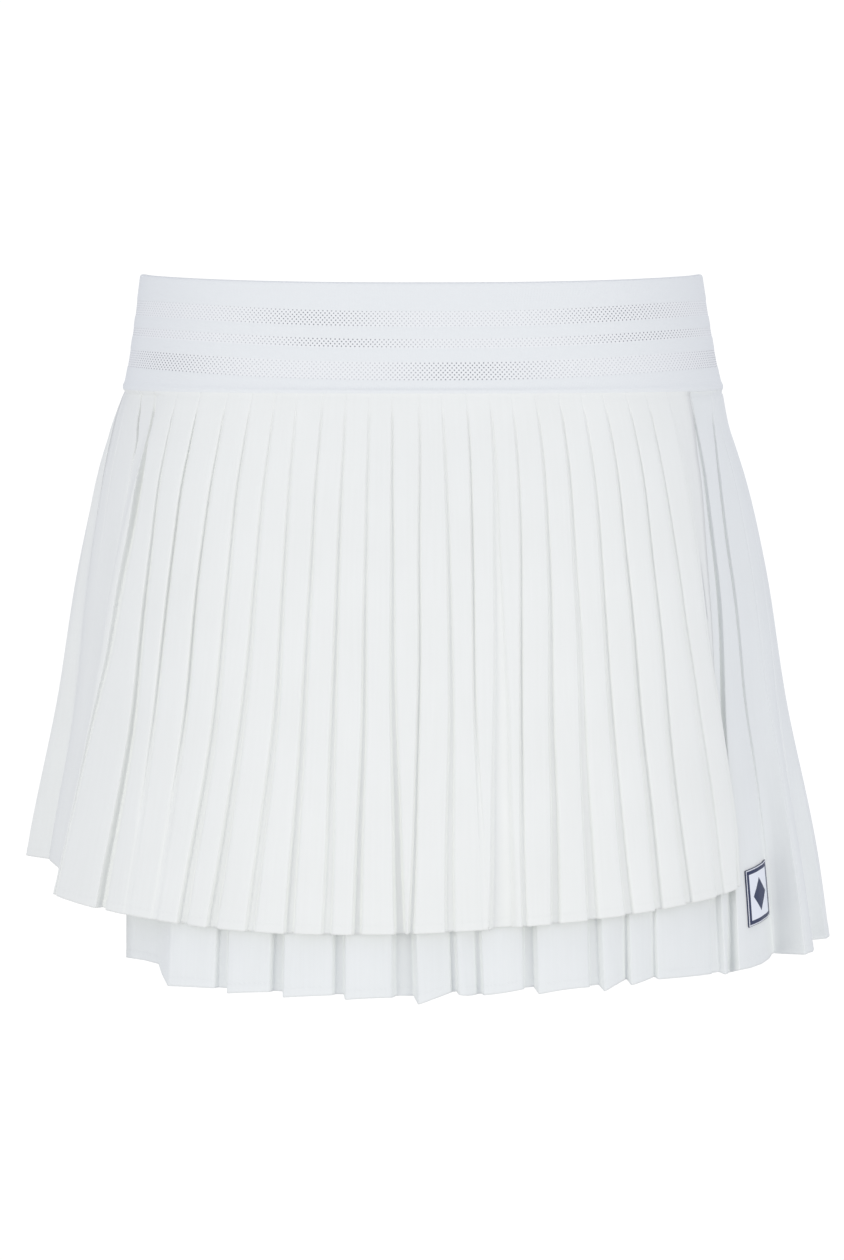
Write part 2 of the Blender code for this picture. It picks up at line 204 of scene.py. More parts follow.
# %% The waves and the two places where the cloth tucks in
WAVES = table(  # how far the cloth swings out at the hem
    "turn push",
    (0.0, 0.0), (84.0, 0.0), (97.0, -0.0050), (125.0, 0.0040), (150.0, -0.0040), (178.0, 0.0040),
    (206.0, -0.0040), (230.0, 0.0040), (250.0, 0.0125), (257.0, 0.0145), (260.6, 0.0), (270.0, 0.0),
    (360.0, 0.0),
)
WAVE_GROWTH = 1.6  # the waves grow towards the hem with this power
WAVE_LEAN = 8.0  # each wave starts this many degrees further on at the seam
LEFT_HOLLOW = table(  # in front of the left side seam, almost from the seam down
    "across inset",
    (0.00, 0.0), (0.10, 0.0090), (0.37, 0.0127), (0.65, 0.0155), (0.87, 0.0120), (1.00, 0.0),
)
HOLLOW_EDGES = table("share start end", (0.0, 270.0, 300.5), (1.0, 257.0, 292.5))
HOLLOW_GROWTH = 0.4
HIP_TUCK = table(  # the single layer at the right hip lies closer than the double one
    "turn share",
    (0.0, 0.0), (66.0, 0.0), (82.0, 1.0), (100.0, 1.0), (125.0, 0.0), (430.0, 0.0),
)
HIP_TUCK_DEPTH = table(
    "share inset",
    (0.00, 0.0), (0.08, 0.0038), (0.25, 0.0026), (0.50, 0.0018), (0.75, 0.0006), (1.00, 0.0010),
)
print("deepest hollow, mm:", 1000 * max(row["inset"] for row in LEFT_HOLLOW))

# %% [markdown]
# ## Knife pleats
# Each pleat is a flat face, a sharp pressed fold, and a strip of underlay that stands a little further in. At
# the seam the folds are pressed and sewn flat, and at the hem they spring open. A heat-set pleat keeps this
# shape through every wash, because the polyester was softened and cooled in the folds.
#
# The section is a row of corner points in two measures, along the cloth and in from the body's oval. Each
# corner is then rounded by a short curve. This was chosen over cloth simulation, which loosens crisp folds.

# %% Shares of the way down where the wall has its rows of points
ROW_PARTS = table(
    "start end rows",
    (-0.006, 0.012, 3),
    (0.012, 0.060, 6),
    (0.060, 0.200, 8),
    (0.200, 0.880, 28),
    (0.880, 0.980, 9),
    (0.980, 1.000, 5),
)
SHARES = np.concatenate([np.linspace(*part.values(), endpoint=False) for part in ROW_PARTS] + [[1.0]])
DOWN = np.clip(SHARES, 0.0, 1.0)
print("rows of points down the cloth:", len(SHARES))

# %% The pleats' section from the seam (share 0) to the hem (share 1)
NARROW_PLEAT = table(
    "share depth mouth",
    (0.00, 0.0001, 0.0008),
    (0.025, 0.0002, 0.0010),
    (0.045, 0.0006, 0.0014),
    (0.15, 0.0011, 0.0019),
    (0.50, 0.0018, 0.0031),
    (1.00, 0.0028, 0.0058),
)
WIDE_PLEAT = table(
    "share depth mouth",
    (0.00, 0.0001, 0.0010),
    (0.03, 0.0002, 0.0012),
    (0.06, 0.0010, 0.0018),
    (0.15, 0.0016, 0.0026),
    (0.50, 0.0026, 0.0044),
    (1.00, 0.0040, 0.0080),
)
RECESS_FLOOR = table("place level", (0.18, 1.0), (0.86, 0.96))  # its edges, as shares of width and depth
FACE_START_LEVEL = 0.20  # share of the pleat's depth where a face leaves the recess
FACE_PLACES = (0.22, 0.5, 0.78)  # inner points of a face, as shares of its width
FOLD_RADIUS = 0.0005  # a pressed fold
RECESS_RADIUS = 0.0008
FACE_START_RADIUS = 0.0010
TIP_GROWTH = 6  # a fold's tip hangs lower or higher near the hem only
MIDDLE_SHARE = 0.42  # where a fold's middle turn is measured
print("pleats open at the hem, m:", NARROW_PLEAT[-1]["mouth"], "and", WIDE_PLEAT[-1]["mouth"])


# %% Upright lines of the cloth, row by row
def knot(turns, inset=0.0, slip=0.0, lower=0.0, radius=0.0):
    """One upright line of the cloth: its turn, its inset, a sideways slip and an extra drop, row by row."""
    even = np.zeros(len(SHARES))
    return dict(turn=even + turns, inset=even + inset, slip=even + slip, lower=even + lower, radius=radius)


def on_path(path):
    """Row by row values of what is known at several places, as pairs of share and value."""
    return read_curve(table("share value", *path), "value", SHARES)


def on_three(fold):
    """Row by row turns of a fold that is known at the seam, near the middle and at the hem."""
    return on_path(((0.0, fold["seam"]), (MIDDLE_SHARE, fold["middle"]), (1.0, fold["hem"])))


def wander(number, size):
    """A fold's own small wander to the side: hands and wear never leave it quite straight."""
    phase = 2.4 * number
    wave = np.sin(7.0 * SHARES + phase) + 0.6 * np.sin(15.0 * SHARES + 1.7 * phase)
    return size * wave * np.clip(SHARES * 4.0, 0.0, 1.0)


print("widest wander of a fold, degrees:", np.abs(wander(1, 0.10)).max().round(2))

# %% From corner points to a rounded, hanging wall
CORNER_STEPS = (0.0, 0.33, 0.67, 1.0)  # points of the curve that rounds a corner
CORNER_REACH = 0.4  # the most of a side that one corner's curve takes up


def rounded_section(knots, degree):
    """Section points in metres along and in, with every corner that has a radius made round."""
    lines = [
        np.stack((line["turn"] * degree + line["slip"], line["inset"], line["lower"]), axis=-1)
        for line in knots
    ]
    corners = np.stack(lines, axis=1)
    columns = [corners[:, 0]]
    for number in range(1, len(knots) - 1):
        point = corners[:, number]
        radius = knots[number]["radius"]
        if radius == 0.0:
            columns.append(point)
            continue
        ends = []
        for other in (corners[:, number - 1], corners[:, number + 1]):
            way = other - point
            length = np.maximum(np.hypot(way[:, 0], way[:, 1]), 1e-6)[:, None]
            ends.append(point + way / length * np.minimum(radius, CORNER_REACH * length))
        for t in CORNER_STEPS:
            columns.append((1.0 - t) ** 2 * ends[0] + 2.0 * t * (1.0 - t) * point + t * t * ends[1])
    columns.append(corners[:, -1])
    return np.stack(columns, axis=1)


def hang(knots):
    """Wall points in the shared frame, from the corner lines of a panel."""
    down = DOWN[:, None]
    row_degree = degree_length(SEAM_DROP + SHARES * (MEAN_HEM_DROP - SEAM_DROP))
    section = rounded_section(knots, row_degree)
    turn = section[:, :, 0] / row_degree[:, None]
    hem_drop = read_curve(HEM, "drop", turn[-1:, :])
    drop = SEAM_DROP + SHARES[:, None] * (hem_drop - SEAM_DROP) + section[:, :, 2]
    lag = read_curve(WRAP_LAG, "share", turn) * read_curve(LAYER_GAP, "gap", drop)
    tuck = read_curve(HIP_TUCK, "share", turn) * read_curve(HIP_TUCK_DEPTH, "inset", down)
    leaning = turn % 360.0 - WAVE_LEAN * (1.0 - down)
    wave = read_curve(WAVES, "push", leaning) * down**WAVE_GROWTH
    start, end = (read_curve(HOLLOW_EDGES, name, down) for name in ("start", "end"))
    across = (turn % 360.0 - start) / (end - start)
    hollow = read_curve(LEFT_HOLLOW, "inset", across) * down**HOLLOW_GROWTH
    return body_points(turn, drop, section[:, :, 1] + lag + tuck - wave + hollow)


print("points round a pressed corner:", len(CORNER_STEPS))


# %% A fold's own depth, width and sink, which wear has changed
FULL_WIDTH_SHARE = 0.6  # a fold reaches its own width this far down
LEAST_RECESS = 0.4  # the least that a recess lies behind its face, as a share of the pleat's depth


def own_size(fold):
    """A fold's own depth near the seam, in the middle and at the hem, as shares of the even pleat's."""
    three = ((0.08, fold["top"]), (0.45, fold["mid"]), (0.85, fold["foot"]))
    return on_path(fold.get("sizes", three))


def own_width(fold):
    """How wide a fold's recess stands open, as a share of the even pleat's."""
    return 1.0 + (fold["open"] - 1.0) * np.clip(SHARES / FULL_WIDTH_SHARE, 0.0, 1.0)


def own_sink(fold):
    """How far a whole fold lies inside the body's oval, in metres. Its table says it in millimetres."""
    places = ((0.10, "in_top"), (0.45, "in_mid"), (1.00, "in_hem"))
    return on_path(((0.0, 0.0), *((share, fold[name] / 1000.0) for share, name in places)))


# %% Corner lines of an overlay pleat, whose faces rise to a fold at their far end
def overlay_knots(start, folds):
    """Corner lines of a panel, from the turn where it starts and its folds."""
    depth = read_curve(NARROW_PLEAT, "depth", SHARES)
    mouth = read_curve(NARROW_PLEAT, "mouth", SHARES)
    knots = [knot(start)]
    face_turns, face_slip, face_inset = start, 0.0, 0.0
    for fold in folds:
        sink = own_sink(fold)
        tip = fold["tip"] * DOWN**TIP_GROWTH
        for place in FACE_PLACES:
            level = (1.0 - place) ** 2
            turns = face_turns + (fold["turns"] - face_turns) * place
            inset = face_inset * level + sink * (1.0 - level)
            knots.append(knot(turns, inset, face_slip * (1.0 - place), lower=tip * place))
        knots.append(knot(fold["turns"], sink, lower=tip, radius=fold["round"] / 1000.0))
        deep = depth * own_size(fold)
        wide = mouth * own_width(fold)
        far_turns = fold["turns"]
        if "far" in fold:  # a wide hollow with a known far edge
            far_turns, wide = on_path(fold["far"]), 0.0
        for edge in RECESS_FLOOR:
            inset = sink + edge["level"] * deep
            turns = fold["turns"] + (far_turns - fold["turns"]) * edge["place"]
            knots.append(knot(turns, inset, edge["place"] * wide, radius=RECESS_RADIUS))
        face_turns, face_slip = far_turns, wide
        face_inset = (sink + FACE_START_LEVEL * deep) * fold["stays_in"]
        knots.append(knot(face_turns, face_inset, face_slip, radius=FACE_START_RADIUS))
    return knots


# %% Corner lines of the under layer, whose faces start at a fold and sink to a recess
def under_knots(folds, end):
    """Corner lines of the under layer. Each fold is the near edge of the face that follows it."""
    depth = read_curve(WIDE_PLEAT, "depth", SHARES)
    mouth = read_curve(WIDE_PLEAT, "mouth", SHARES)
    grown = DOWN**TIP_GROWTH
    knots = []
    for fold, following in zip(folds, folds[1:] + [None]):
        near = own_sink(fold)
        tip = fold["tip"] * grown
        knots.append(knot(fold["turns"], near, lower=tip, radius=fold["round"] / 1000.0))
        if following is None:
            knots += [knot((fold["turns"] + end) / 2.0), knot(end)]
            break
        deep = depth * own_size(following)
        wide = mouth * own_width(following)
        far = own_sink(following)
        lift = following["lift"] * grown
        end_inset = far + FACE_START_LEVEL * deep + following["sunk"] * grown
        for place in FACE_PLACES:
            level = place**2
            turns = fold["turns"] + (following["turns"] - fold["turns"]) * place
            inset = end_inset * level + near * (1.0 - level)
            knots.append(knot(turns, inset, -wide * place, tip * (1.0 - place) ** 2 + lift * level))
        knots.append(knot(following["turns"], end_inset, -wide, lift, radius=FACE_START_RADIUS))
        for edge in reversed(RECESS_FLOOR):
            inset = np.maximum(far + edge["level"] * deep, end_inset + LEAST_RECESS * deep)
            knots.append(knot(following["turns"], inset, -edge["place"] * wide, lift, radius=RECESS_RADIUS))
    return knots


KNOTS_PER_FOLD = 1 + len(FACE_PLACES) + 1 + len(RECESS_FLOOR)
print("corner lines for one pleat:", KNOTS_PER_FOLD)

# %% [markdown]
# ## Where the folds are
# The pleats were set by machine, so they start at even turns. Wear has moved them since: each row gives a
# fold's turn at the seam, near the middle and at the hem, then how deep and how open it has sprung there.
# A few folds have a form of their own, with a path of several turns or a sink inside the body's oval.

# %% Folds of the overlay
FOLD_COLUMNS = "seam middle hem top mid foot open"
OVERLAY_ROWS = table(
    FOLD_COLUMNS,
    (275.6, 277.0, 275.0, 0.3, 0.02, 0.02, 1.0),
    (281.0, 283.0, 279.5, 0.3, 0.02, 0.02, 1.0),
    (286.4, 288.4, 285.0, 3.5, 0.05, 0.02, 1.0),
    (292.6, 296.8, 292.3, 4.2, 1.4, 0.3, 1.0),
    (304.0, 306.2, 303.6, 1.2, 1.5, 1.5, 1.2),
    (310.1, 311.1, 309.6, 1.6, 1.3, 0.1, 0.8),
    (316.7, 317.4, 314.9, 1.2, 1.3, 0.2, 0.8),
    (322.4, 323.1, 319.9, 1.2, 1.1, 1.1, 1.1),
    (327.7, 328.4, 324.9, 1.0, 1.0, 1.1, 1.1),
    (332.5, 334.0, 331.5, 0.9, 1.0, 0.9, 1.0),
    (338.2, 338.7, 338.0, 1.1, 1.0, 1.1, 1.0),
    (343.1, 343.9, 343.8, 1.0, 1.1, 0.9, 1.0),
    (348.2, 349.0, 348.8, 0.9, 1.0, 1.1, 0.9),
    (353.1, 353.8, 355.3, 1.2, 1.1, 1.3, 1.1),
    (358.8, 358.9, 357.4, 1.0, 0.9, 0.8, 0.6),
    (363.8, 364.1, 363.2, 0.9, 1.0, 0.9, 1.0),
    (369.1, 368.5, 368.9, 1.2, 0.9, 0.1, 0.6),
    (374.2, 372.4, 370.0, 1.0, 1.0, 1.3, 2.5),
    (379.0, 377.0, 375.2, 0.9, 0.9, 0.6, 0.6),
    (384.1, 382.3, 379.8, 1.0, 1.0, 1.0, 1.0),
    (389.3, 387.2, 385.8, 1.2, 0.9, 1.0, 1.2),
    (394.3, 392.3, 392.0, 0.9, 1.0, 0.9, 1.0),
    (399.2, 397.5, 397.4, 1.0, 1.1, 1.0, 1.0),
    (404.7, 402.7, 402.9, 1.1, 1.0, 0.9, 1.0),
    (410.0, 408.3, 406.6, 1.0, 0.9, 0.7, 1.2),
    (415.2, 413.2, 413.5, 1.0, 0.8, 0.8, 1.0),
)
print("folds in the overlay:", len(OVERLAY_ROWS))

# %% Folds of the overlay with a form of their own
# The fold at the hollow's far edge stands open below the seam, and so does the short slit beside it.
SLIT_PATH = (
    (0.00, 290.5), (0.04, 290.6), (0.07, 291.0), (0.09, 292.2), (0.13, 292.8), (0.20, 293.4),
    (0.30, 293.0), (0.50, 291.5), (1.00, 288.0),
)
SLIT_SIZES = ((0.00, 4.0), (0.06, 4.0), (0.10, 2.2), (0.14, 0.6), (0.30, 0.1), (1.00, 0.02))
HOLLOW_NEAR = (
    (0.00, 296.2), (0.05, 297.0), (0.10, 297.7), (0.18, 299.2), (0.26, 299.5), (0.37, 299.2),
    (0.50, 298.4), (0.60, 296.6), (0.68, 295.3), (0.82, 294.1), (1.00, 292.6),
)
HOLLOW_FAR = (
    (0.00, 297.4), (0.05, 298.7), (0.10, 299.7), (0.18, 301.3), (0.26, 301.7), (0.37, 301.3),
    (0.50, 300.2), (0.60, 298.1), (0.68, 296.5), (0.82, 295.1), (1.00, 293.5),
)
EDGE_PATHS = (  # the last two folds before the overlay's free edge
    ((0.0, 409.6), (0.2, 408.2), (0.42, 408.0), (0.6, 408.9), (0.8, 409.5), (1.0, 409.0)),
    ((0.0, 415.2), (0.2, 413.8), (0.45, 413.1), (0.65, 414.4), (0.85, 414.9), (1.0, 413.6)),
)
OVERLAY_FORMS = (
    dict(fold=2, path=SLIT_PATH, sizes=SLIT_SIZES),
    dict(fold=3, path=HOLLOW_NEAR, far=HOLLOW_FAR, stays_in=0.0),
    dict(fold=17, tip=0.0006),
    dict(fold=24, path=EDGE_PATHS[0]),
    dict(fold=25, path=EDGE_PATHS[1]),
)


def own_forms(rows, sway, forms):
    """The folds of a table with their forms, and each fold's turns row by row."""
    folds = []
    for number, row in enumerate(rows):
        fold = dict(in_top=0.0, in_mid=0.0, in_hem=0.0, stays_in=1.0, tip=0.0, round=1000.0 * FOLD_RADIUS)
        fold.update(row)
        for form in forms:
            if form["fold"] == number:
                fold.update(form)
        fold["turns"] = on_path(fold["path"]) if "path" in fold else on_three(fold) + wander(number, sway)
        folds.append(fold)
    return folds


overlay_folds = own_forms(OVERLAY_ROWS, 0.10, OVERLAY_FORMS)
print("of them with their own form:", len(OVERLAY_FORMS))

# %% Folds of the back: even, with a little wear in each
BACK_PLEATS = 33
PULLED_FLAT = 0.45  # depth of the pleats near the side seams, where the cloth swings out
SIDE_SEAM_RIGHT = 90.0
SIDE_SEAM_LEFT = 270.0
SEAM_TURN = 0.02  # half the gap at a side seam


def back_rows():
    """Even folds from the right side seam to the left one. The sines stand for the wear of each."""
    rows = []
    pitch = (SIDE_SEAM_LEFT - SIDE_SEAM_RIGHT) / BACK_PLEATS
    for number in range(1, BACK_PLEATS + 1):
        last = number == BACK_PLEATS
        seam = SIDE_SEAM_RIGHT + pitch * number - (SEAM_TURN if last else 0.0)
        middle = seam + (0.0 if last else 0.55 * math.sin(2.1 * number))
        hem = seam + (0.0 if last else 1.1 * math.sin(1.3 * number) + 0.5 * math.sin(3.7 * number))
        flat = PULLED_FLAT if number < 4 or number > 28 else 1.0
        mid = flat * (1.1 + 0.25 * math.sin(2.9 * number))
        foot = flat * (1.2 + 0.35 * math.sin(1.9 * number + 1.0))
        rows.append((seam, middle, hem, 1.0, mid, foot, 1.0 + 0.2 * math.sin(4.3 * number)))
    return table(FOLD_COLUMNS, *rows)


# The cloth swings out before the left side seam, and two of its folds hold that bend.
HELD_FLAT = dict(top=0.1, mid=0.05, foot=0.05, open=0.2)
BACK_FORMS = (
    dict(fold=30, path=((0.0, 264.8), (0.5, 261.0), (1.0, 256.9)), **HELD_FLAT),
    dict(fold=31, path=((0.0, 267.6), (0.5, 264.6), (1.0, 260.7)), **HELD_FLAT),
)
back_folds = own_forms(back_rows(), 0.12, BACK_FORMS)
print("folds in the back:", len(back_folds))

# %% Folds of the under layer: wider pleats, some of them twisted where the hem hangs free
UNDER_ROWS = table(
    FOLD_COLUMNS + " tip lift sunk",
    (-48.5, -45.0, -41.4, 1.0, 1.0, 1.0, 1.0, 0.0010, 0.0, 0.0),
    (-37.7, -34.4, -31.0, 1.0, 1.0, 0.9, 1.0, 0.0014, -0.0003, 0.0),
    (-26.9, -24.3, -21.7, 1.0, 1.0, 1.1, 1.0, 0.0014, -0.0006, 0.0),
    (-16.2, -14.2, -12.2, 1.0, 1.0, 1.0, 0.9, 0.0012, -0.0006, 0.0),
    (-5.4, -3.0, -0.7, 1.0, 1.0, 1.5, 1.7, 0.0030, 0.0, 0.0),
    (1.0, 3.2, 5.5, 1.0, 1.0, 0.8, 0.5, -0.0010, -0.0018, 0.0030),
    (6.5, 8.0, 9.2, 1.0, 1.0, 0.7, 0.5, 0.0, 0.0, 0.0025),
    (20.0, 19.0, 18.0, 1.0, 1.0, 1.1, 1.0, 0.0018, -0.0010, 0.0),
    (32.0, 30.0, 28.4, 1.0, 1.0, 1.0, 1.0, 0.0030, 0.0004, 0.0),
    (38.5, 36.0, 33.0, 1.0, 1.0, 0.5, 0.3, 0.0012, -0.0010, 0.0030),
    (45.0, 41.8, 37.8, 1.0, 1.0, 0.5, 0.3, -0.0004, -0.0012, 0.0015),
    (58.5, 54.6, 50.3, 1.0, 1.0, 0.9, 1.0, 0.0016, 0.0006, 0.0010),
    (63.0, 59.4, 52.6, 1.4, 1.2, 1.3, 0.6, 0.0, 0.0020, 0.0030),
    (72.0, 65.0, 65.2, 1.6, 0.8, 0.1, 0.4, -0.0005, -0.0005, 0.0),
    (74.0, 72.3, 66.8, 0.1, 0.1, 0.1, 0.3, -0.0019, -0.0015, 0.0),
    (80.0, 77.5, 76.0, 0.1, 0.1, 0.3, 0.5, -0.0010, -0.0010, 0.0),
    (86.0, 84.0, 79.5, 0.1, 0.1, 0.1, 0.5, -0.0011, -0.0010, 0.0),
)
TWISTED_PATHS = (
    ((0.0, 63.0), (0.11, 62.0), (0.20, 60.8), (0.37, 59.7), (0.46, 59.0), (1.0, 52.8)),
    ((0.0, 72.0), (0.08, 69.5), (0.13, 67.5), (0.19, 66.1), (0.3, 65.2), (0.5, 65.2), (0.7, 66.4), (1, 65.4)),
    ((0.0, 73.5), (0.4, 72.5), (0.62, 72.3), (0.75, 70.6), (1.0, 67.0)),
)
UNDER_FORMS = (
    dict(fold=5, round=2.0),
    dict(fold=12, in_hem=-1.9, path=TWISTED_PATHS[0]),
    dict(fold=13, in_top=0.6, in_mid=1.2, in_hem=7.7, path=TWISTED_PATHS[1]),
    dict(fold=14, in_hem=-9.6, round=3.0, path=TWISTED_PATHS[2]),
    dict(fold=15, in_hem=6.6, round=2.0),
    dict(fold=16, in_hem=-2.5, round=3.0),
)
under_folds = own_forms(UNDER_ROWS, 0.10, UNDER_FORMS)
print("folds in the under layer:", len(under_folds))

# %% Flaps at the wrap's two free edges
FLAP_COLUMNS = "seam middle hem inset_seam inset_hem"
FLAP_START = 0.125  # share of the way down where a flap's inset at the seam is reached
FLAP_GROWTH = 1.3
UNDER_FLAP = table(
    FLAP_COLUMNS,
    (-67.0, -59.5, -52.1, 0.0, 0.0085),
    (-63.5, -56.8, -50.1, 0.0002, 0.0092),
    (-60.0, -54.1, -48.1, 0.0004, 0.0090),
    (-56.5, -51.4, -46.5, 0.0004, 0.0080),
    (-53.0, -48.9, -44.9, 0.0003, 0.0068),
    (-50.8, -47.0, -43.4, 0.0002, 0.0038),
)
OVERLAY_FLAP = table(
    FLAP_COLUMNS,
    (416.4, 413.9, 414.1, 0.0010, 0.0010),
    (418.2, 414.8, 414.3, 0.0024, 0.0014),
    (420.2, 415.6, 414.3, 0.0036, 0.0010),
    (422.3, 416.4, 414.1, 0.0044, 0.0004),
)


def flap_knots(rows):
    """Corner lines of a flap, which tucks in towards the hem."""
    knots = []
    for row in rows:
        near_seam = np.clip(DOWN / FLAP_START, 0.0, 1.0)
        inset = row["inset_seam"] * near_seam + row["inset_hem"] * DOWN**FLAP_GROWTH
        knots.append(knot(on_three(row), inset))
    return knots


overlay_flap = flap_knots(OVERLAY_FLAP)
under_flap = flap_knots(UNDER_FLAP)
print("lines in the two flaps:", len(overlay_flap), "and", len(under_flap))

# %% [markdown]
# ## From points to cloth
# A wall of points becomes a mesh of four-sided faces. Solidify gives it the thickness of the cloth, and more
# along the hem, where it is turned up and stitched. A texture map in metres, along the cloth and down it,
# lets the weave and the stitches follow the folds.

# %% A mesh through rows of points
def mesh_from_points(name, points, distances, closed=False):
    """A grid mesh through rows of points, with its texture map."""
    rows, columns = points.shape[:2]
    spans = columns if closed else columns - 1
    upper = np.arange(rows - 1)[:, None] * columns + np.arange(spans)[None, :]
    right = np.arange(rows - 1)[:, None] * columns + (np.arange(spans)[None, :] + 1) % columns
    faces = np.stack((upper, upper + columns, right + columns, right), axis=-1).reshape(-1, 4)
    mesh = bpy.data.meshes.new(name)
    mesh.from_pydata(points.reshape(-1, 3).tolist(), [], faces.tolist())
    cloth_uv = mesh.uv_layers.new(name="cloth")
    places = distances.reshape(-1, 2)[faces.reshape(-1)]
    if closed:  # the last face of a ring ends one whole turn on, not back at the start
        circle = distances[0, -1, 0] + (distances[0, 1, 0] - distances[0, 0, 0])
        quads = places.reshape(-1, 4, 2)
        wraps = quads[:, :, 0].max(axis=1) - quads[:, :, 0].min(axis=1) > circle / 2.0
        quads[wraps, :, 0] = np.where(quads[wraps, :, 0] < circle / 2.0, circle, quads[wraps, :, 0])
    cloth_uv.uv.foreach_set("vector", places.reshape(-1))
    mesh.shade_smooth()
    piece = bpy.data.objects.new(name, mesh)
    bpy.context.scene.collection.objects.link(piece)
    return piece


def thicken(piece, thickness):
    """Give a wall its thickness, half to each side."""
    solidify = piece.modifiers.new("thickness", "SOLIDIFY")
    solidify.thickness = thickness
    solidify.offset = 0.0
    return solidify


# %% Make one cloth panel
CLOTH_THICKNESS = 0.00036  # light woven polyester
HEM_TURN_UP = 0.0045  # folded and stitched edge
HEM_THICKNESS = 0.00072


def cloth_map(points):
    """Distances along and down the cloth for each point, in metres."""
    steps = np.linalg.norm(np.diff(points, axis=1), axis=2).mean(axis=0)
    along = np.concatenate(([0.0], np.cumsum(steps)))
    falls = np.linalg.norm(np.diff(points, axis=0), axis=2).mean(axis=1)
    down = np.concatenate(([0.0], np.cumsum(falls)))
    down = down - down[-1]  # 0 at the hem, negative above it
    return np.stack(np.broadcast_arrays(along[None, :], down[:, None]), axis=-1)


def cloth_panel(name, knots, node):
    """A pleated panel that stands for one node of the solid model."""
    points = hang(knots)
    distances = cloth_map(points)
    piece = mesh_from_points(name, points, distances)
    turned_up = piece.vertex_groups.new(name="turned up hem")
    columns = points.shape[1]
    for row, down in enumerate(distances[:, 0, 1]):
        weight = 1.0 if down > -HEM_TURN_UP - 1e-5 else CLOTH_THICKNESS / HEM_THICKNESS
        turned_up.add(range(row * columns, (row + 1) * columns), weight, "REPLACE")
    solidify = thicken(piece, HEM_THICKNESS)
    solidify.vertex_group = turned_up.name
    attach(piece, "root")
    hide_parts(node)
    return piece, points


# %% The three panels
overlay_lines = overlay_knots(SIDE_SEAM_LEFT + SEAM_TURN, overlay_folds)[:-1] + overlay_flap
back_lines = overlay_knots(SIDE_SEAM_RIGHT + SEAM_TURN, back_folds)[:-3]
under_lines = under_flap + under_knots(under_folds, SIDE_SEAM_RIGHT - SEAM_TURN)

overlay = cloth_panel("overlay_panel", overlay_lines, "over_front")[0]
back = cloth_panel("back_panel", back_lines, "back")[0]
under, under_points = cloth_panel("under_panel", under_lines, "under_front")

# %% [markdown]
# ## The waistband
# The band is a wide elastic knit folded double, so it pulls on without a zip. Three bands of open mesh run
# round it. It is a closed tube: up the outside, over the rolled top edge and down the inside.

# %% Section of the band
BAND_OUT = 0.0003  # the band stands this much outside the body's oval
BAND_THICKNESS = 0.0026
BAND_COLUMNS = 360
OUTER_STEP = 0.00085  # between rows outside, small enough for the mesh bands' edges
INNER_STEP = 0.008
TOP_ROUND = 0.0013  # height of the rolled top edge
MESH_SINK = 0.00022  # the open mesh is thinner than the plain knit
MESH_EDGE = 0.0006  # width of the step between the two
MESH_BANDS = table(
    "top foot beat_shift",
    (0.0137, 0.0219, 0.845),
    (0.0275, 0.0326, 0.77),
    (0.0390, 0.0484, 0.355),
)


def band_section():
    """Rows of the band: place below the top edge, and inset from the outer skin."""
    rows = [(0.0604, 0.0013), (0.0603, 0.0003)]  # the rounded foot
    for place in np.arange(0.0598, 0.0014, -OUTER_STEP):
        inset = 0.0
        for stripe in MESH_BANDS:
            inside = min(place - stripe["top"], stripe["foot"] - place)
            inset += MESH_SINK * float(np.clip(inside / MESH_EDGE + 0.5, 0.0, 1.0))
        rows.append((float(place), inset))
    half = BAND_THICKNESS / 2.0
    for angle in np.radians((15, 40, 65, 90, 115, 140, 165)):  # over the rolled top edge
        rows.append((TOP_ROUND * (1.0 - math.sin(angle)), half - half * math.cos(angle)))
    for place in np.arange(INNER_STEP / 2.0, BAND_DROP, INNER_STEP):
        rows.append((float(place), BAND_THICKNESS))
    rows += [(0.0603, BAND_THICKNESS - 0.0003), (0.0604, 0.0014)]
    return table("place inset", *rows)


print("rows in the band's section:", len(band_section()))

# %% The band, with its dips at the centre front and back
BAND_MIDDLE = 0.03  # the drop where its length is measured
TOP_FADE = 0.012  # the dip of the top edge turns into the dip of the stripes over this drop
FOOT_FADE = 0.010  # and fades out this close to the seam
STRIPE_DIP = 0.0052  # the mesh bands sink this much at the centre


def band_drop(place, frontness, dip):
    """Drop of a place on the band, from its distance below the top edge at the sides."""
    top_share = np.clip(1.0 - place / TOP_FADE, 0.0, 1.0)
    foot_share = np.clip((BAND_DROP - place) / FOOT_FADE, 0.0, 1.0)
    foot_share = foot_share * foot_share * (3.0 - 2.0 * foot_share)
    stripes = STRIPE_DIP / BAND_FRONT_DIP * frontness**4
    return place + dip * foot_share * (top_share * frontness**2 + (1.0 - top_share) * stripes)


def band_points():
    """Points of the band, and their distances along it and down it. It starts at the centre back."""
    around = np.linspace(0.0, 360.0, BAND_COLUMNS, endpoint=False)
    turns = (around + 180.0) % 360.0
    walls, maps = [], []
    for row in band_section():
        flat = body_points(turns, row["place"], 0.0)
        frontness = np.abs(flat[:, 1]) / body_plan(row["place"])[1]
        dip = np.where(flat[:, 1] < 0.0, BAND_FRONT_DIP, BAND_BACK_DIP)
        points = body_points(turns, row["place"], row["inset"] - BAND_OUT)
        points[:, 2] = -band_drop(row["place"], frontness, dip)
        walls.append(points)
        down = row["place"] if row["inset"] < BAND_THICKNESS / 2.0 else -row["place"]
        maps.append(np.stack((around * degree_length(BAND_MIDDLE), np.full(BAND_COLUMNS, down)), axis=-1))
    return np.array(walls), np.array(maps)


waist_points, waist_map = band_points()
waistband = mesh_from_points("elastic_waistband", waist_points, waist_map, closed=True)
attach(waistband, "root")
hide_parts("waistband")
band_length = 360.0 * float(degree_length(BAND_MIDDLE))
print("band:", round(1000 * band_length), "mm round,", waist_points.shape[0] * BAND_COLUMNS, "points")

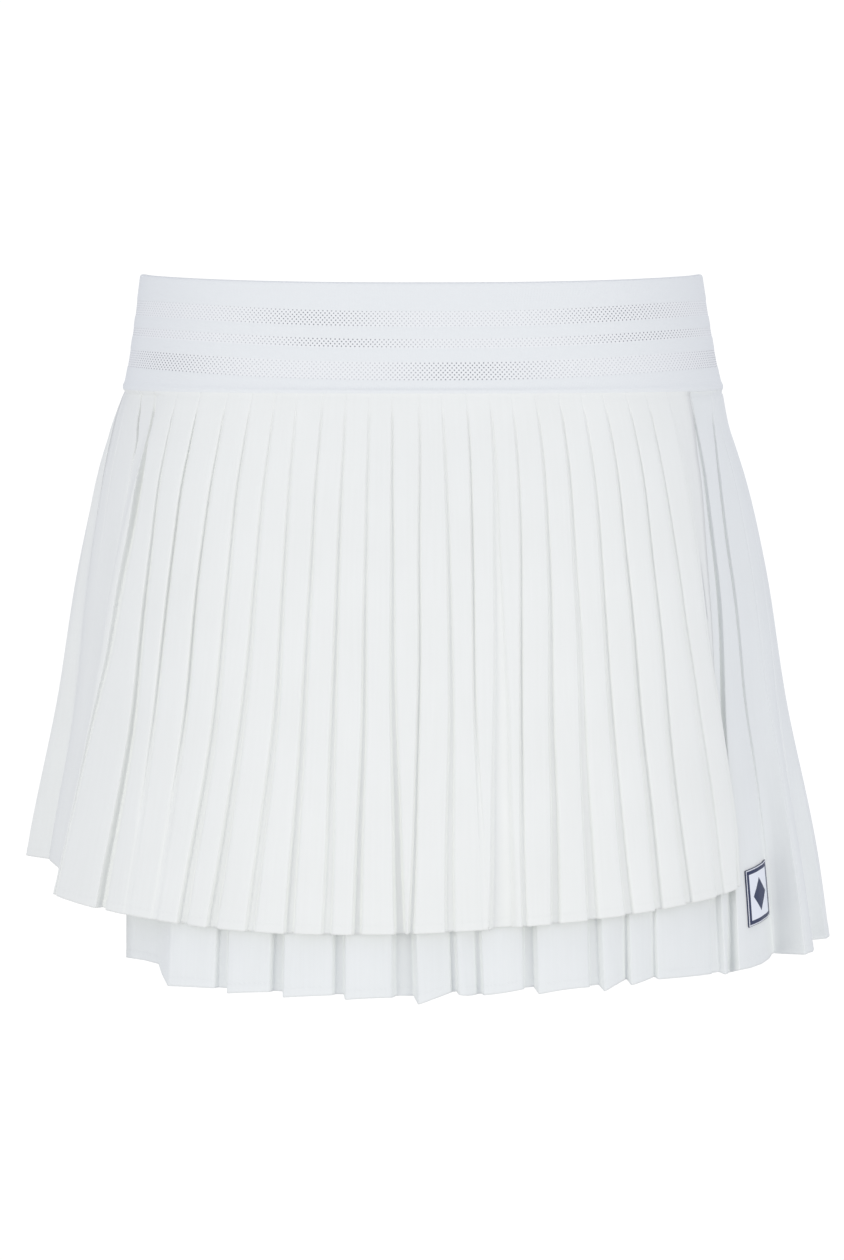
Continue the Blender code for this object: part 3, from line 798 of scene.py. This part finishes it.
# %% [markdown]
# ## Inside the band
# The pleated cloth is joined to the band by an overlocked seam, whose allowance turns up inside. It shows
# from above. The machine wraps the cut edge in thread, so the strip looks ribbed.

# %% Seam allowance inside the band
ALLOWANCE_ROWS = table(
    "place inset",
    (0.0608, 0.0024), (0.0580, 0.0030), (0.0545, 0.0032), (0.0510, 0.0031), (0.0502, 0.0027),
)
ALLOWANCE_COLUMNS = 720
ALLOWANCE_MIDDLE = 0.055  # the drop where its length is measured
SEAM_THREAD = 0.0006  # thickness of the wrapped edge
THREAD_RIPPLE = 0.00012  # the wrapped thread lifts the strip above its stitching line
STITCHING_LINE = 0.058


def allowance_points():
    """Points of the overlocked strip that lies against the inside of the band."""
    turns = np.linspace(0.0, 360.0, ALLOWANCE_COLUMNS, endpoint=False)
    rows = []
    for row in ALLOWANCE_ROWS:
        ripple = THREAD_RIPPLE * np.sin(np.radians(turns * 90.0)) * (row["place"] < STITCHING_LINE)
        rows.append(body_points(turns, row["place"], row["inset"] + ripple))
    return np.array(rows)


inner_points = allowance_points()
inner_turns = np.arange(ALLOWANCE_COLUMNS) * (360.0 / ALLOWANCE_COLUMNS)
inner_steps = inner_turns * float(degree_length(ALLOWANCE_MIDDLE))
inner_map = np.stack(np.broadcast_arrays(inner_steps[None, :], inner_points[:, :1, 2]), axis=-1)
inner_seam = mesh_from_points("overlocked_seam", inner_points, inner_map, closed=True)
thicken(inner_seam, SEAM_THREAD)
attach(inner_seam, "root")
print("overlocked seam:", len(inner_points), "rows")

# %% [markdown]
# ## The hem patch
# A small woven patch is sewn near the hem of the under layer. It has no lettering: a navy frame round a light
# field with one plain lozenge. It is laid on the points of the pleat's face that carries it.

# %% Measures of the patch, and the face that carries it
PATCH_FOLD = 12  # it sits on the face that starts at this fold of the under layer
PATCH_LEFT, PATCH_RIGHT = 0.20, 0.98  # its sides, as shares of the face's width
PATCH_TOP_DROP = 0.3025
PATCH_HEIGHT = 0.0284
PATCH_SLANT = 0.0030  # its left side hangs lower, along the climbing hem
PATCH_THICKNESS = 0.0007
PATCH_AIR = 0.0002  # between the patch and the cloth
PATCH_DOWN = np.linspace(0.0, 1.0, 12)
PATCH_ACROSS = np.linspace(0.0, 1.0, 10)


def column_of(knots, number):
    """Column of the wall where a corner line starts, counting the points that round each corner."""
    rounded = [line["radius"] > 0.0 for line in knots[1:number]]
    return number + (len(CORNER_STEPS) - 1) * sum(rounded)


first = len(under_flap) + KNOTS_PER_FOLD * PATCH_FOLD
face_start = column_of(under_lines, first) + len(CORNER_STEPS) - 1
face_end = column_of(under_lines, first + 1 + len(FACE_PLACES))
face = under_points[:, face_start : face_end + 1]
print("the patch's face is", face.shape[1], "columns wide")


# %% The patch
def patch_points():
    """Grid of points of the patch, lifted off the cloth."""
    grid = []
    for down in PATCH_DOWN:
        drop = PATCH_TOP_DROP + PATCH_HEIGHT * down
        across = []
        for column in range(face.shape[1]):
            own_drop = drop + PATCH_SLANT * (1.0 - column / (face.shape[1] - 1))
            heights = -face[:, column, 2]
            across.append([np.interp(own_drop, heights, face[:, column, axis]) for axis in range(3)])
        across = np.array(across)
        walked = np.concatenate(([0.0], np.cumsum(np.linalg.norm(np.diff(across, axis=0), axis=1))))
        shares = np.linspace(PATCH_LEFT, PATCH_RIGHT, len(PATCH_ACROSS)) * walked[-1]
        grid.append([[np.interp(share, walked, across[:, axis]) for axis in range(3)] for share in shares])
    grid = np.array(grid)
    out = np.cross(grid[-1, 0] - grid[0, 0], grid[0, -1] - grid[0, 0])
    out = out / np.linalg.norm(out)
    return grid + out * (CLOTH_THICKNESS / 2.0 + PATCH_THICKNESS / 2.0 + PATCH_AIR)


patch_wall = patch_points()
patch_wide = float(np.linalg.norm(patch_wall[0, -1] - patch_wall[0, 0]))
patch_high = float(np.linalg.norm(patch_wall[-1, 0] - patch_wall[0, 0]))
patch_map = np.stack(np.meshgrid(PATCH_ACROSS, PATCH_DOWN), axis=-1)
patch = mesh_from_points("hem_patch", patch_wall, patch_map)
thicken(patch, PATCH_THICKNESS)
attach(patch, "root")
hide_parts("hem_tab")
print("patch:", round(1000 * patch_wide, 1), "x", round(1000 * patch_high, 1), "mm")

# %% [markdown]
# ## Building finishes from nodes
# A finish is a small network of nodes. One function turns a hex colour into the linear light that the shader
# works in, and one adds a node with its settings and links. Threads, ribs, stitches and rows of holes all
# come at an even spacing, so one more function makes even ripples from a spacing in metres.

# %% Helpers for finishes
def linear(hex_colour):
    """Linear colour of an sRGB hex value."""
    channels = [int(hex_colour[place : place + 2], 16) / 255.0 for place in (1, 3, 5)]
    light = [value / 12.92 if value <= 0.04045 else ((value + 0.055) / 1.055) ** 2.4 for value in channels]
    return (*light, 1.0)


def fill_inputs(node, *inputs, **named):
    """Give a node's inputs, in order or by name, their values or other nodes' outputs."""
    in_use = [socket for socket in node.inputs if socket.enabled]
    by_name = [(node.inputs[name.replace("_", " ")], value) for name, value in named.items()]
    for socket, value in (*zip(in_use, inputs), *by_name):
        if isinstance(value, bpy.types.NodeSocket):
            node.id_data.links.new(value, socket)
        else:
            socket.default_value = value


def add_node(finish, kind, *inputs, **settings):
    """Add a node and return its first output in use. A kind all in capitals is a sum of a Math node, and
    a setting that starts with a capital is an input's name."""
    if kind.isupper():
        kind, settings["operation"] = "Math", kind
    node = finish.node_tree.nodes.new("ShaderNode" + kind)
    named = {name: settings.pop(name) for name in list(settings) if name[0].isupper()}
    for name, value in settings.items():
        setattr(node, name, value)
    fill_inputs(node, *inputs, **named)
    return next(socket for socket in node.outputs if socket.enabled)


def new_finish(name):
    """A material, its empty Principled shader, and the cloth map's two distances."""
    finish = bpy.data.materials.new(name)
    finish.use_nodes = True
    apart = add_node(finish, "SeparateXYZ", add_node(finish, "UVMap", uv_map="cloth")).node
    return finish, finish.node_tree.nodes["Principled BSDF"], apart.outputs[0], apart.outputs[1]


def ripples(finish, distance, pitch, shift=0.0):
    """Even ripples from -1 to 1 along a distance, shifted by a share of their pitch."""
    angle = add_node(finish, "MULTIPLY_ADD", distance, math.tau / pitch, math.tau * shift)
    return add_node(finish, "SINE", angle)


CREST = 0.25  # the shift of ripples that start on a crest
print("linear light of #808080:", round(linear("#808080")[0], 3))

# %% [markdown]
# ### Pleated polyester
# The cloth is a light plain weave of white polyester, heat-set in its pleats. It is matt with a faint sheen
# where the threads are flat. Its threads are about 0.25 mm apart, far too fine to show, so the weave is
# drawn 4 times as coarse and very low. The pressed faces are not quite flat, which a slow bump gives. The
# under layer hangs behind the overlay and gets a copy of this finish a shade greyer: that grey is painted
# shade.

# %% Pleated polyester: weave and tone
THREAD_PITCH = 0.00100  # drawn; the real one is 0.00025 m
STREAKS = (700.0, 25.0, 1.0)  # uneven yarn: streaks 1.4 mm wide and 40 mm long
cloth, cloth_shader, cloth_along, cloth_down = new_finish("white pleated polyester")
warp = ripples(cloth, cloth_along, THREAD_PITCH)
weft = ripples(cloth, cloth_down, THREAD_PITCH)
weave = add_node(cloth, "MULTIPLY", warp, weft)
place = add_node(cloth, "CombineXYZ", cloth_along, cloth_down)
drawn_out = add_node(cloth, "VectorMath", place, STREAKS, operation="MULTIPLY")
streaks = add_node(cloth, "TexNoise", drawn_out, noise_dimensions="2D", Scale=1.0, Detail=2.0)
patchy = add_node(cloth, "TexNoise", place, noise_dimensions="2D", Scale=28.0, Detail=3.0)
# The tone is a share of the way from the darker of the cloth's two colours to the lighter one.
tone = add_node(cloth, "MapRange", streaks, To_Min=0.35, To_Max=0.65)
tone = add_node(cloth, "MULTIPLY_ADD", patchy, 0.35, tone)
tone = add_node(cloth, "MULTIPLY_ADD", weave, 0.03, tone)
tone = add_node(cloth, "SUBTRACT", tone, 0.17)
cloth_colour = add_node(cloth, "ValToRGB", tone)
print("threads drawn every", 1000 * THREAD_PITCH, "mm")

# %% Pleated polyester: hem stitches, slow bump, shader, and a darker copy with painted shade
STITCH_PITCH = 0.0028
STITCH_HALF = 0.00035  # half a stitch's width
stitch_line = add_node(cloth, "ADD", cloth_down, HEM_TURN_UP)
stitch_line = add_node(cloth, "ABSOLUTE", stitch_line)
stitch_line = add_node(cloth, "LESS_THAN", stitch_line, STITCH_HALF)
stitch = ripples(cloth, cloth_along, STITCH_PITCH)
stitch = add_node(cloth, "MULTIPLY", stitch_line, stitch)
# Heights are shares of the bump's distance, here and in the next finishes.
height = add_node(cloth, "MULTIPLY", stitch, 0.06)
height = add_node(cloth, "MULTIPLY_ADD", weave, 0.012, height)
height = add_node(cloth, "MULTIPLY_ADD", patchy, 0.9, height)
fill_inputs(
    cloth_shader,
    Base_Color=cloth_colour,
    Roughness=0.82,
    IOR=1.5,
    Specular_IOR_Level=0.25,
    Sheen_Weight=0.12,
    Sheen_Roughness=0.5,
    Normal=add_node(cloth, "Bump", Strength=0.55, Distance=0.0012, Height=height),
)
# Painted shade: the under layer gets a copy of the finish with darker colours, for the shade it hangs in
# behind the overlay.
painted_shade_cloth = cloth.copy()
painted_shade_cloth.name = "white pleated polyester, painted shade copy"
for finish, colours in ((cloth, ("#e4e6e0", "#edefea")), (painted_shade_cloth, ("#e1e4e0", "#eaedea"))):
    ramp = finish.node_tree.nodes[cloth_colour.node.name].color_ramp
    for element, colour in zip(ramp.elements, colours):
        element.color = linear(colour)
for panel in (overlay, back, inner_seam):
    panel.data.materials.append(cloth)
under.data.materials.append(painted_shade_cloth)
print("finishes:", cloth.name, "and", painted_shade_cloth.name)

# %% [markdown]
# ### Elastic knit
# The band is knitted from white polyester over elastic yarn. It is a little bluer than the cloth, because its
# yarn has more optical brightener. Fine ribs run up and down, about 0.8 mm apart. The mesh bands are open
# rows of holes, 2.27 mm apart along a row, in rows 1.17 mm apart. The holes are coloured dark grey, which is
# painted shade of the band's inside seen through them. The band is double, so the holes of the two layers
# line up in some places only, and there the painted shade is darker.

# %% Elastic knit: the holes, and their painted shade, darker where two layers of them line up
HOLES_ROUND = 357  # a whole number of holes goes round: 2.27 mm each
HOLE_ROW = 0.00117
MESH_MARGIN = 0.0002  # plain edge of a mesh band
LAYER_BEAT = band_length / 5  # the two layers' holes line up again after this far
knit, knit_shader, knit_along, knit_down = new_finish("white elastic knit")
hole_along = ripples(knit, knit_along, band_length / HOLES_ROUND, CREST)
hole_down = ripples(knit, knit_down, 2.0 * HOLE_ROW, CREST)
lattice = add_node(knit, "MULTIPLY", hole_along, hole_down)
hole = add_node(knit, "MapRange", lattice, interpolation_type="SMOOTHSTEP", From_Min=0.45, From_Max=0.85)
open_mesh, shade_where_lined_up = 0.0, 0.0
for stripe in MESH_BANDS:
    below = add_node(knit, "GREATER_THAN", knit_down, stripe["top"] + MESH_MARGIN)
    above = add_node(knit, "LESS_THAN", knit_down, stripe["foot"] - MESH_MARGIN)
    inside = add_node(knit, "MULTIPLY", below, above)
    open_mesh = add_node(knit, "ADD", open_mesh, inside)
    beat = ripples(knit, knit_along, LAYER_BEAT, stripe["beat_shift"] + CREST)
    beat = add_node(knit, "MULTIPLY_ADD", beat, 0.5, 0.5)
    beat = add_node(knit, "POWER", beat, 2.0)
    shade_where_lined_up = add_node(knit, "MULTIPLY_ADD", inside, beat, shade_where_lined_up)
hole = add_node(knit, "MULTIPLY", hole, open_mesh)
# Painted shade: the holes are darkened for the shaded inside of the band seen through them, most where the
# two layers' holes line up.
hole_shade_strength = add_node(knit, "MULTIPLY_ADD", shade_where_lined_up, 0.62, 0.26)
painted_hole_shade = add_node(knit, "MULTIPLY", hole, hole_shade_strength)
print("holes in one row of the band:", HOLES_ROUND)

# %% Elastic knit: colour, ribs and shader
RIB_PITCH = 0.0008
COURSE_PITCH = 0.0011  # the knit's rows of loops
yarn = add_node(knit, "Mix", open_mesh, linear("#e5e8e6"), linear("#eaecea"), data_type="RGBA")
ribs = ripples(knit, knit_along, RIB_PITCH)
courses = ripples(knit, knit_down, COURSE_PITCH)
height = add_node(knit, "MULTIPLY", ribs, 0.10)
height = add_node(knit, "MULTIPLY_ADD", courses, 0.04, height)
height = add_node(knit, "MULTIPLY_ADD", hole, -0.9, height)
# The holes' dark grey #5e646a is painted shade of the band's inside.
fill_inputs(
    knit_shader,
    Base_Color=add_node(knit, "Mix", painted_hole_shade, yarn, linear("#5e646a"), data_type="RGBA"),
    Roughness=0.85,
    IOR=1.5,
    Specular_IOR_Level=0.25,
    Sheen_Weight=0.10,
    Sheen_Roughness=0.5,
    Normal=add_node(knit, "Bump", Strength=0.5, Distance=0.0005, Height=height),
)
waistband.data.materials.append(knit)
print("finish:", knit.name)

# %% [markdown]
# ### Woven patch
# A damask patch is woven from shiny polyester, which gives it a soft gloss: a navy frame, a light field and
# a plain navy lozenge on it. Its ribs run across, 0.35 mm apart.

# %% Woven patch
FRAME_MM = 2.7  # width of the navy frame
EDGE_LINE_MM = 0.5  # a light line runs this far from the edge,
EDGE_LINE_HALF = 0.3  # and this far to each side of that
LOZENGE = 0.30  # half its height, as a share of the patch's height
LOZENGE_SLIMNESS = 1.1
PATCH_RIB = 0.00035
woven, woven_shader, patch_x, patch_y = new_finish("navy woven patch")
offsets, edges = [], []
for axis, length in ((patch_x, patch_wide), (patch_y, patch_high)):
    offset = add_node(woven, "SUBTRACT", axis, 0.5)
    offset = add_node(woven, "ABSOLUTE", offset)
    edge = add_node(woven, "SUBTRACT", 0.5, offset)
    offsets.append(offset)
    edges.append(add_node(woven, "MULTIPLY", edge, 1000 * length))
edge_mm = add_node(woven, "MINIMUM", *edges)
light_edge = add_node(woven, "COMPARE", edge_mm, EDGE_LINE_MM, EDGE_LINE_HALF)
off_lozenge = add_node(woven, "MULTIPLY_ADD", offsets[0], LOZENGE_SLIMNESS, offsets[1])
off_lozenge = add_node(woven, "GREATER_THAN", off_lozenge, LOZENGE)
field = add_node(woven, "GREATER_THAN", edge_mm, FRAME_MM)
light_field = add_node(woven, "MULTIPLY", off_lozenge, field)
light_thread = add_node(woven, "MAXIMUM", light_edge, light_field)
rib_height = add_node(woven, "MULTIPLY", ripples(woven, patch_y, PATCH_RIB / patch_high), 0.2)
height = add_node(woven, "MULTIPLY_ADD", light_thread, 0.6, rib_height)
fill_inputs(
    woven_shader,
    Base_Color=add_node(woven, "Mix", light_thread, linear("#1d2a4f"), linear("#e9edf2"), data_type="RGBA"),
    Roughness=0.55,
    IOR=1.5,
    Sheen_Weight=0.2,
    Normal=add_node(woven, "Bump", Strength=0.4, Distance=0.0002, Height=height),
)
patch.data.materials.append(woven)
print("finish:", woven.name)

# %% [markdown]
# ## Light and camera
# A studio lights white cloth from all sides, so only the folds' recesses turn a little grey. A bright even
# sky does most of the work here. Two large soft lights at the front corners add form, one behind lifts the
# back, and one overhead lights the band's rolled edge.

# %% Floor
FLOOR_RADIUS = 1.15
FLOOR_HEIGHT = -0.95
FLOOR_CORNERS = 96
floor_mesh = bpy.data.meshes.new("studio_floor")
floor_angles = np.linspace(0.0, math.tau, FLOOR_CORNERS, endpoint=False)
floor_points = [
    (FLOOR_RADIUS * math.cos(angle), FLOOR_RADIUS * math.sin(angle), FLOOR_HEIGHT)
    for angle in floor_angles
]
floor_mesh.from_pydata(floor_points, [], [list(range(FLOOR_CORNERS))])
floor = bpy.data.objects.new("studio_floor", floor_mesh)
bpy.context.scene.collection.objects.link(floor)
floor_paint = bpy.data.materials.new("matt white paint")
floor_paint.use_nodes = True
fill_inputs(floor_paint.node_tree.nodes["Principled BSDF"], Base_Color=linear("#dedede"), Roughness=0.9)
floor_mesh.materials.append(floor_paint)
print("floor:", 2 * FLOOR_RADIUS, "m wide")

# %% Sky and lights
SKY_LIGHT = 0.665
BACKDROP_LIGHT = 1.05  # the backdrop is seen as pure white
LIGHT_COLOUR = "#fffcf5"
LIGHT_AIM = (0.0, 0.0, -0.18)  # the middle of the skirt
LIGHTS = table(
    "name place width power",
    ("left soft light", (-2.16, -2.05, -0.35), 1.8, 33.0),
    ("right soft light", (2.16, -2.05, -0.35), 1.8, 31.4),
    ("back soft light", (0.6, 3.0, 1.0), 2.4, 21.0),
    ("overhead soft light", (0.0, -0.3, 2.4), 1.8, 8.0),
)

world = bpy.data.worlds.new("studio sky")
bpy.context.scene.world = world
world.use_nodes = True
backdrop = world.node_tree.nodes["Background"]
fill_inputs(backdrop, Color=(1.0, 1.0, 1.0, 1.0), Strength=BACKDROP_LIGHT)
lighting = add_node(world, "Background", linear("#ebeeff"), SKY_LIGHT)
seen = add_node(world, "LightPath")  # its first output says whether the camera looks straight at the sky
choose = add_node(world, "MixShader", seen, lighting, backdrop.outputs[0])
fill_inputs(world.node_tree.nodes["World Output"], Surface=choose)

for row in LIGHTS:
    lamp = bpy.data.lights.new(row["name"], "AREA")
    lamp.shape = "DISK"
    lamp.size = row["width"]
    lamp.energy = row["power"]
    lamp.color = linear(LIGHT_COLOUR)[:3]
    light = bpy.data.objects.new(row["name"], lamp)
    light.location = row["place"]
    aim = np.array(LIGHT_AIM) - np.array(row["place"])
    flat = math.hypot(aim[0], aim[1])
    light.rotation_euler = (math.pi / 2.0 + math.atan2(aim[2], flat), 0.0, math.atan2(-aim[0], aim[1]))
    light.visible_camera = False
    bpy.context.scene.collection.objects.link(light)
bpy.context.scene.view_settings.view_transform = "Standard"
print("lights:", len(LIGHTS))

# %% The camera, at the height of the band and looking slightly down
CAMERA_PLACE = (-0.001, -1.6, -0.0113)
CAMERA_TILT = 6.364  # degrees below level
LENS = 85.63  # mm, for a sensor 36 mm high
camera_data = bpy.data.cameras.new("camera")
camera_data.sensor_fit = "AUTO"
camera_data.sensor_width = 36.0
camera_data.lens = LENS
camera_data.clip_start = 0.05
camera = bpy.data.objects.new("camera", camera_data)
camera.location = CAMERA_PLACE
camera.rotation_euler = (math.radians(90.0 - CAMERA_TILT), 0.0, 0.0)
bpy.context.scene.collection.objects.link(camera)
bpy.context.scene.camera = camera
print("camera:", tuple(camera.location))
